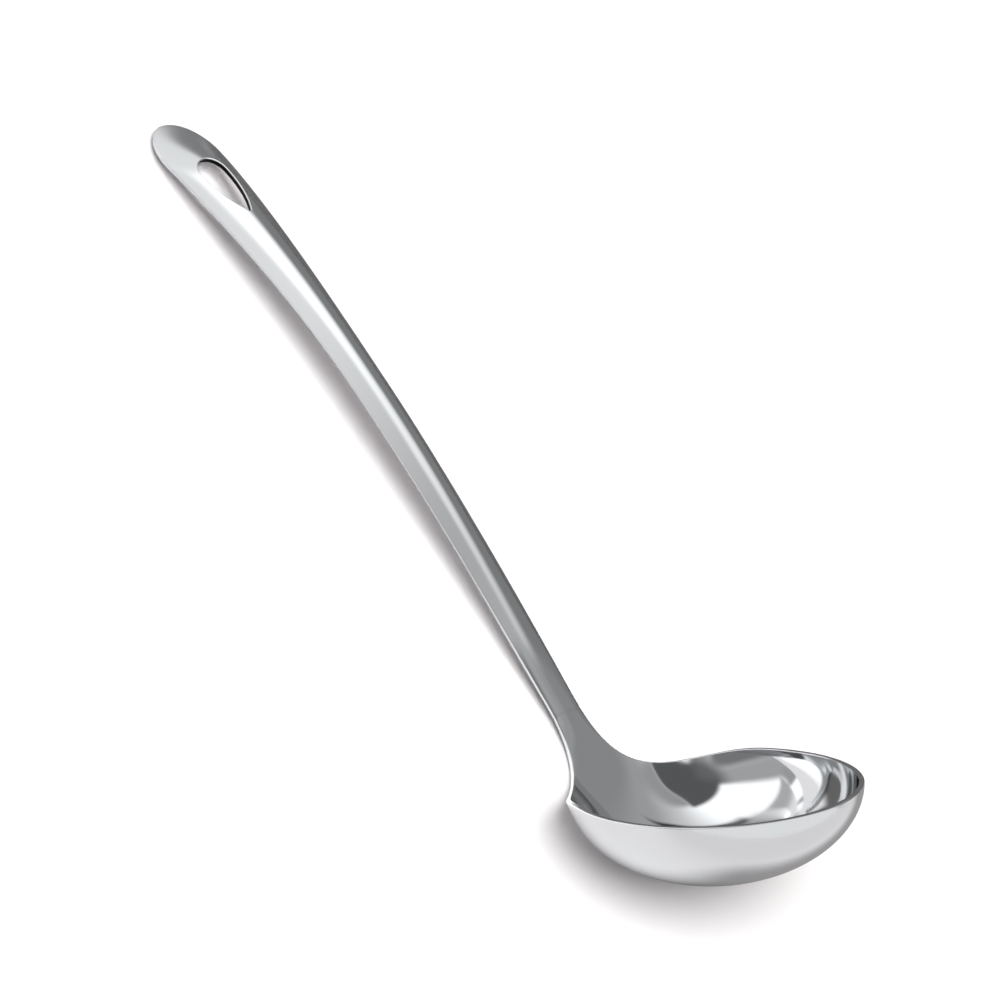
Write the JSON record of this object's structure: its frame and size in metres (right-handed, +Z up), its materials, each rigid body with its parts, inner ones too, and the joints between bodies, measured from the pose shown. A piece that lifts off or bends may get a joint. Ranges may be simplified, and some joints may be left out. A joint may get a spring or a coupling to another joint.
{
  "type": "soup ladle",
  "caption": "Stainless steel soup ladle with a deep round bowl, a curved neck and a long hollow handle that ends in a pad with a teardrop hanging hole.",
  "frame": {"origin": "centre of the ladle's length and width, on the surface it lies on", "axes": "+X from the handle's tip towards the bowl's lip, +Y across the ladle, +Z up; the ladle lies on the back of its bowl and on the tip of its handle"},
  "size_m": [0.3254, 0.092, 0.0718],
  "materials": {
    "polished_steel": "stainless steel, finely polished",
    "ground_weld": "stainless weld, ground flush and polished"
  },
  "bodies": {
    "root": {"bowl": "polished_steel", "neck_weld": "ground_weld", "handle_front": "polished_steel", "handle_back": "polished_steel", "edge_weld": "ground_weld", "hang_hole_ring": "polished_steel"}
  },
  "joints": []
}
